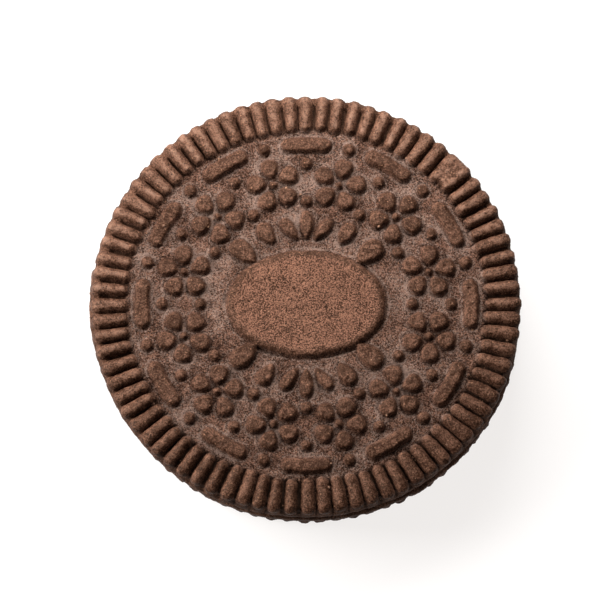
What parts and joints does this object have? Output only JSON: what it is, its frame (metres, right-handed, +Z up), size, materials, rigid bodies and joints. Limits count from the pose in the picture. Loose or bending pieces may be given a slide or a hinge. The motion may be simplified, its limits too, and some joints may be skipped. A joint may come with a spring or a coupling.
{
  "type": "chocolate sandwich cookie",
  "caption": "Round sandwich cookie: two dark embossed wafers with a ridged rim and a plain oval, and a disc of white creme between them.",
  "frame": {"origin": "on the surface the cookie stands on, under its middle", "axes": "+Z up through the embossed face of the upper wafer, +X along the long axis of its oval"},
  "size_m": [0.0446, 0.045, 0.0087],
  "materials": {
    "wafer": "dark, dry, fine-grained chocolate biscuit",
    "creme": "smooth, slightly waxy white creme"
  },
  "bodies": {
    "root": {"upper_wafer": "wafer", "lower_wafer": "wafer", "creme_filling": "creme"}
  },
  "joints": []
}
